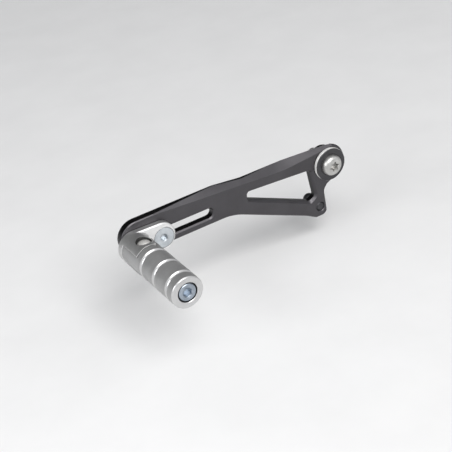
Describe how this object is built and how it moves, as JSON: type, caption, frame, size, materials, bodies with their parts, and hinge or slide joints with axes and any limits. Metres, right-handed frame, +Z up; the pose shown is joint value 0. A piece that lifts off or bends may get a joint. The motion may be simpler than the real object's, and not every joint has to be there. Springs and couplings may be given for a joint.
{
  "type": "folding foot peg and shift lever",
  "caption": "Motorcycle shift lever with a pivot boss, slotted arm, sliding peg carrier and spring-return folding foot peg.",
  "frame": {"origin": "on the pivot bolt's axis, on the face where its free thread leaves the sleeve and enters the bracket", "axes": "+Z up, +Y along the pivot bolt towards the motorcycle, -X along the arm towards the front wheel; the peg points along -Y"},
  "size_m": [0.163, 0.0831, 0.0504],
  "materials": {
    "black_anodised": "satin black anodised",
    "silver_anodised": "bead-blasted, clear anodised",
    "barrel_anodised": "satin anodised with bright turned grooves",
    "zinc_steel": "zinc plated, slightly blue",
    "bolt_steel": "stainless, satin",
    "collar_black": "black anodised",
    "washer_steel": "turned stainless",
    "bronze": "sintered bronze",
    "seal_rubber": "matt",
    "pin_polished": "polished steel",
    "dark_steel": "blackened",
    "spring_steel": "drawn wire"
  },
  "bodies": {
    "pivot": {"pivot_bolt": "bolt_steel", "pivot_collar": "collar_black", "thrust_washer_front": "washer_steel", "thrust_washer_rear": "washer_steel"},
    "lever": {"lever_arm": "black_anodised", "pivot_bush_front": "bronze", "pivot_bush_rear": "bronze", "dust_seal_front": "seal_rubber", "dust_seal_rear": "seal_rubber", "linkage_ball_stud": "dark_steel", "stud_washer": "dark_steel"},
    "shoe": {"slot_nut": "dark_steel", "clamp_screw": "zinc_steel"},
    "carrier": {"peg_carrier": "silver_anodised", "hinge_pin": "pin_polished"},
    "peg": {"peg_barrel": "barrel_anodised", "pin_bush_upper": "bronze", "pin_bush_lower": "bronze", "tip_screw": "zinc_steel", "tip_seal": "seal_rubber", "return_spring": "spring_steel"},
    "plunger": {"plunger": "dark_steel"}
  },
  "joints": [
    {"name": "lever_pivot", "type": "hinge", "parent": "pivot", "child": "lever", "pos_m": [0, -0.006, 0], "axis": [0, 1, 0], "range_deg": [-12, 12], "stiffness_Nm_per_rad": 12},
    {"name": "carrier_slide", "type": "slide", "parent": "lever", "child": "shoe", "axis": [1, 0, 0], "range_m": [-0.002, 0.0318]},
    {"name": "carrier_swivel", "type": "hinge", "parent": "shoe", "child": "carrier", "pos_m": [-0.122, -0.0127, 0], "axis": [0, 1, 0], "range_deg": [-25, 25]},
    {"name": "peg_fold", "type": "hinge", "parent": "carrier", "child": "peg", "pos_m": [-0.1396, -0.0252, 0.00036], "axis": [0, 0, 1], "range_deg": [0, 75], "stiffness_Nm_per_rad": 0.35, "springref_deg": -34.38},
    {"name": "plunger_travel", "type": "slide", "parent": "peg", "child": "plunger", "axis": [0, -1, 0], "range_m": [0, 0.0008], "deforming": ["return_spring"]}
  ],
  "couplings": [
    {"joint": "plunger_travel", "follows": "peg_fold", "m_per_rad": 0.0006}
  ]
}
